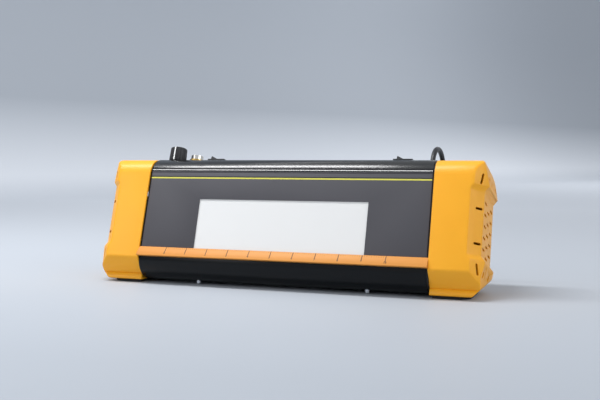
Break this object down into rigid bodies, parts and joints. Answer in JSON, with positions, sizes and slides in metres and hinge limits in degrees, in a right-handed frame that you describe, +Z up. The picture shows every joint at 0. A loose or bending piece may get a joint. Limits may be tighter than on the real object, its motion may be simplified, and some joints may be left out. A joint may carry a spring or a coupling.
{
  "type": "film viewer",
  "caption": "Portable LED viewer for x-ray film: leaned-back black housing with a lit window, scaled ledge, vented end caps, dimmer, rocker switches and mains cord.",
  "frame": {"origin": "on the surface it stands on, under the middle of the body's length and depth, cord left out", "axes": "+X along the length towards the viewer's right, -Y the lit front, +Z up"},
  "size_m": [0.442, 0.1732, 0.1553],
  "materials": {
    "black_housing": "fine satin black coating",
    "grey_panel": "matt printed grey",
    "orange_ledge": "matt",
    "opal": "opal, satin",
    "white_frame": "matt white",
    "led_board": "white solder mask",
    "led": "phosphor yellow",
    "sink": "plain extruded",
    "steel_screw": "zinc plated",
    "bracket": "zinc plated",
    "green_board": "solder mask",
    "transformer": "taped winding",
    "capacitor": "sleeved",
    "black_plate": "matt black",
    "amber_cap": "fine moulded satin",
    "fan_black": "moulded",
    "rotor_black": "moulded",
    "rubber": "matt",
    "pot_metal": "plated",
    "shaft_metal": "turned",
    "knob_black": "satin",
    "pointer_white": "printed line",
    "socket_metal": "satin nickel",
    "socket_ring": "plated",
    "socket_black": "moulded",
    "contact_gold": "plated",
    "switch_black": "moulded",
    "rocker_black": "satin",
    "relief_black": "moulded",
    "nut_black": "moulded",
    "cord_black": "smooth jacket",
    "tie_black": "woven strap",
    "plug_black": "moulded",
    "pin_brass": "plain"
  },
  "bodies": {
    "viewer": {"housing_extrusion": "black_housing", "front_panel": "grey_panel", "film_ledge": "orange_ledge", "diffuser_plate": "opal", "light_box": "white_frame", "led_board": "led_board", "led_array": "led", "heat_sink": "sink", "heat_sink_screws": "steel_screw", "sink_brackets": "bracket", "base_screws": "steel_screw", "driver_board": "green_board", "driver_transformer": "transformer", "driver_capacitors": "capacitor", "left_end_plate": "black_plate", "right_end_plate": "black_plate", "left_plate_screws": "steel_screw", "right_plate_screws": "steel_screw", "left_end_cap": "amber_cap", "right_end_cap": "amber_cap", "left_cap_screws": "steel_screw", "right_cap_screws": "steel_screw", "left_fan_frame": "fan_black", "right_fan_frame": "fan_black", "left_fan_screws": "steel_screw", "right_fan_screws": "steel_screw", "left_foot_pad": "rubber", "right_foot_pad": "rubber", "dimmer_potentiometer": "pot_metal", "dimmer_nut": "steel_screw", "socket_shell": "socket_metal", "socket_ring": "socket_ring", "socket_insert": "socket_black", "socket_contacts": "contact_gold", "mode_rocker_frame": "switch_black", "power_rocker_frame": "switch_black", "switch_terminals": "pin_brass", "cord_relief": "relief_black", "relief_nut": "nut_black", "power_cord": "cord_black", "cord_coil": "cord_black", "cord_tail": "cord_black", "cord_tie": "tie_black", "plug_body": "plug_black", "plug_pins": "pin_brass"},
    "dimmer": {"dimmer_shaft": "shaft_metal", "dimmer_knob": "knob_black", "knob_pointer": "pointer_white"},
    "mode_switch": {"mode_rocker": "rocker_black"},
    "power_switch": {"power_rocker": "rocker_black"},
    "left_fan": {"left_fan_rotor": "rotor_black"},
    "right_fan": {"right_fan_rotor": "rotor_black"}
  },
  "joints": [
    {"name": "dimmer_turn", "type": "hinge", "parent": "viewer", "child": "dimmer", "pos_m": [-0.1483, 0.00776, 0.13676], "axis": [0, 0.2957, 0.9553], "range_deg": [-150, 150]},
    {"name": "mode_rock", "type": "hinge", "parent": "viewer", "child": "mode_switch", "pos_m": [-0.0946, 0.00782, 0.13695], "axis": [0, -0.9553, 0.2957], "range_deg": [0, 28]},
    {"name": "power_rock", "type": "hinge", "parent": "viewer", "child": "power_switch", "pos_m": [0.1264, 0.00782, 0.13695], "axis": [0, -0.9553, 0.2957], "range_deg": [0, 28]},
    {"name": "left_fan_spin", "type": "hinge", "parent": "viewer", "child": "left_fan", "pos_m": [-0.1762, 0.00074, 0.06335], "axis": [-1, 0, 0], "continuous": true},
    {"name": "right_fan_spin", "type": "hinge", "parent": "viewer", "child": "right_fan", "pos_m": [0.1762, 0.00074, 0.06335], "axis": [1, 0, 0], "continuous": true}
  ]
}
